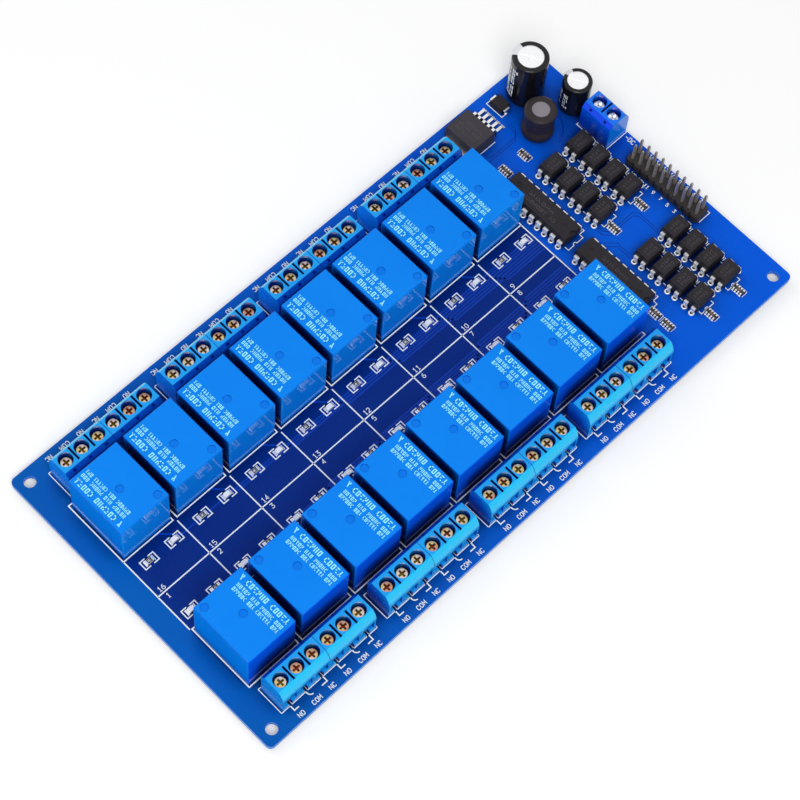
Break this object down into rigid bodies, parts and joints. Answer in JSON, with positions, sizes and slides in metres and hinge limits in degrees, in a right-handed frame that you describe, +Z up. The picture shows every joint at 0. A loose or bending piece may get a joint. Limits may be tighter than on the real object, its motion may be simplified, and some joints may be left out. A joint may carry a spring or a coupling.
{
  "type": "relay module board",
  "caption": "Flat circuit board with two rows of sealed cube relays, screw terminal blocks along both long edges, and a pin header and power parts at one end.",
  "frame": {"origin": "centre of the four mounting holes on the board's underside", "axes": "+X along the long side towards the input end, +Y across to the back row of relays, +Z up out of the component side"},
  "size_m": [0.1854, 0.0936, 0.0202],
  "materials": {
    "board": "satin solder mask over glass fibre board",
    "relay_cover": "gloss moulded",
    "relay_base": "matt resin",
    "relay_coil": "wound coil, sealed in",
    "tinned_metal": "bright tin plating",
    "terminal_housing": "semi-gloss moulded",
    "terminal_screw": "plated, lightly worn",
    "plated_steel": "bright nickel plating",
    "power_housing": "semi-gloss moulded",
    "header_plastic": "matt moulded",
    "header_pin": "dull plating",
    "can_aluminium": "bright drawn",
    "capacitor_sleeve": "gloss film",
    "ferrite": "matt sintered",
    "enamelled_wire": "varnished",
    "shrink_sleeve": "satin film",
    "moulded_epoxy": "fine matt moulded",
    "led_lens": "clear-white lens",
    "chip_resistor": "glazed",
    "solder": "bright, smooth"
  },
  "bodies": {
    "root": {"circuit_board": "board", "relay_cover_f1": "relay_cover", "relay_cover_f2": "relay_cover", "relay_cover_f3": "relay_cover", "relay_cover_f4": "relay_cover", "relay_cover_f5": "relay_cover", "relay_cover_f6": "relay_cover", "relay_cover_f7": "relay_cover", "relay_cover_f8": "relay_cover", "relay_cover_b1": "relay_cover", "relay_cover_b2": "relay_cover", "relay_cover_b3": "relay_cover", "relay_cover_b4": "relay_cover", "relay_cover_b5": "relay_cover", "relay_cover_b6": "relay_cover", "relay_cover_b7": "relay_cover", "relay_cover_b8": "relay_cover", "relay_bases": "relay_base", "relay_coils": "relay_coil", "relay_pins": "tinned_metal", "terminal_block_f1": "terminal_housing", "terminal_block_f2": "terminal_housing", "terminal_block_f3": "terminal_housing", "terminal_block_f4": "terminal_housing", "terminal_block_f5": "terminal_housing", "terminal_block_f6": "terminal_housing", "terminal_block_f7": "terminal_housing", "terminal_block_f8": "terminal_housing", "terminal_block_b1": "terminal_housing", "terminal_block_b2": "terminal_housing", "terminal_block_b3": "terminal_housing", "terminal_block_b4": "terminal_housing", "terminal_block_b5": "terminal_housing", "terminal_block_b6": "terminal_housing", "terminal_block_b7": "terminal_housing", "terminal_block_b8": "terminal_housing", "terminal_screws": "terminal_screw", "terminal_clamps": "plated_steel", "terminal_pins": "tinned_metal", "power_terminal": "power_housing", "power_terminal_screws": "plated_steel", "header_strip": "header_plastic", "header_pins": "header_pin", "large_capacitor_can": "can_aluminium", "large_capacitor_sleeve": "capacitor_sleeve", "small_capacitor_can": "can_aluminium", "small_capacitor_sleeve": "capacitor_sleeve", "inductor_core": "ferrite", "inductor_winding": "enamelled_wire", "inductor_sleeve": "shrink_sleeve", "component_leads": "tinned_metal", "regulator_body": "moulded_epoxy", "regulator_tab": "tinned_metal", "diode_body": "moulded_epoxy", "driver_chips": "moulded_epoxy", "optocouplers": "moulded_epoxy", "chip_leads": "tinned_metal", "indicator_leds": "led_lens", "chip_resistors": "chip_resistor", "solder_joints": "solder"}
  },
  "joints": []
}
